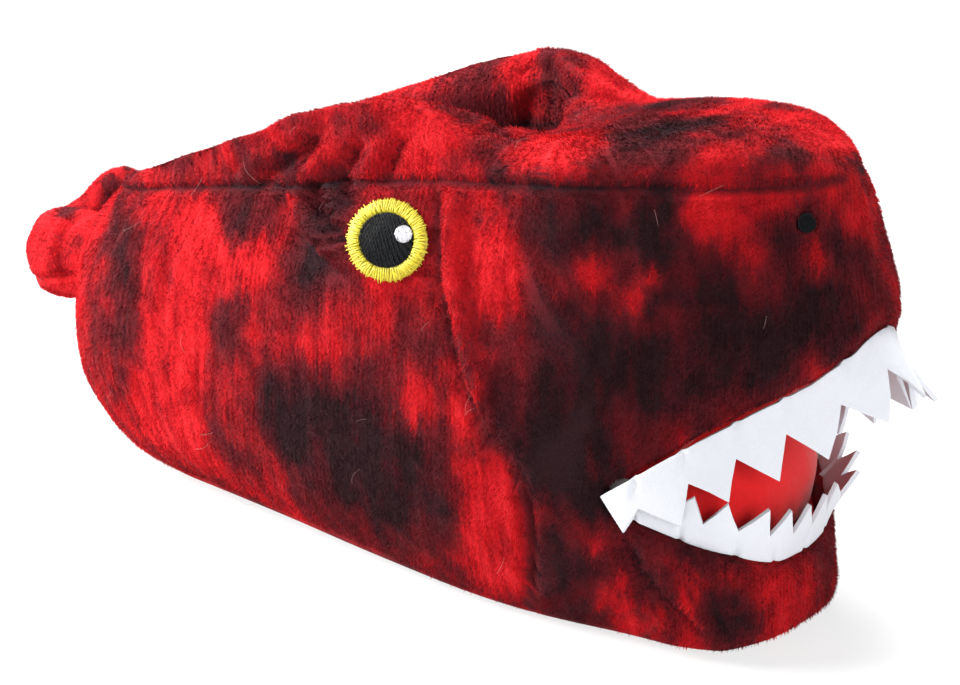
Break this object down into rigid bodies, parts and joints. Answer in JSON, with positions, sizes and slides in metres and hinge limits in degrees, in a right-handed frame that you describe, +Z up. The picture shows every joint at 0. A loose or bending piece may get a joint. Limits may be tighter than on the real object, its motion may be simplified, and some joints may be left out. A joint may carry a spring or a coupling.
{
  "type": "plush dinosaur slipper",
  "caption": "Padded plush house slipper shaped as a dinosaur's head, with an open collar, embroidered eyes, an open toothed mouth at the toe and a curled tail at the heel.",
  "frame": {"origin": "middle of the slipper's box at floor level, under the sole", "axes": "+X towards the toe and the dinosaur's snout, +Y to the wearer's left, +Z up"},
  "size_m": [0.3477, 0.118, 0.1446],
  "materials": {
    "plush": "short pile, mottled red and black",
    "sole_fabric": "dark woven grip fabric",
    "sock_lining": "brushed dark lining",
    "red_felt": "matte red felt",
    "white_felt": "matte white felt",
    "yellow_thread": "glossy embroidery thread",
    "black_thread": "glossy embroidery thread",
    "white_thread": "glossy embroidery thread"
  },
  "bodies": {
    "root": {"outsole": "sole_fabric", "insole": "sock_lining", "upper": "plush", "mouth_lining": "red_felt", "upper_teeth": "white_felt", "lower_teeth": "white_felt", "tail": "plush", "eye_ring_right": "yellow_thread", "eye_pupil_right": "black_thread", "eye_glint_right": "white_thread", "nostril_right": "black_thread", "eye_ring_left": "yellow_thread", "eye_pupil_left": "black_thread", "eye_glint_left": "white_thread", "nostril_left": "black_thread"}
  },
  "joints": []
}
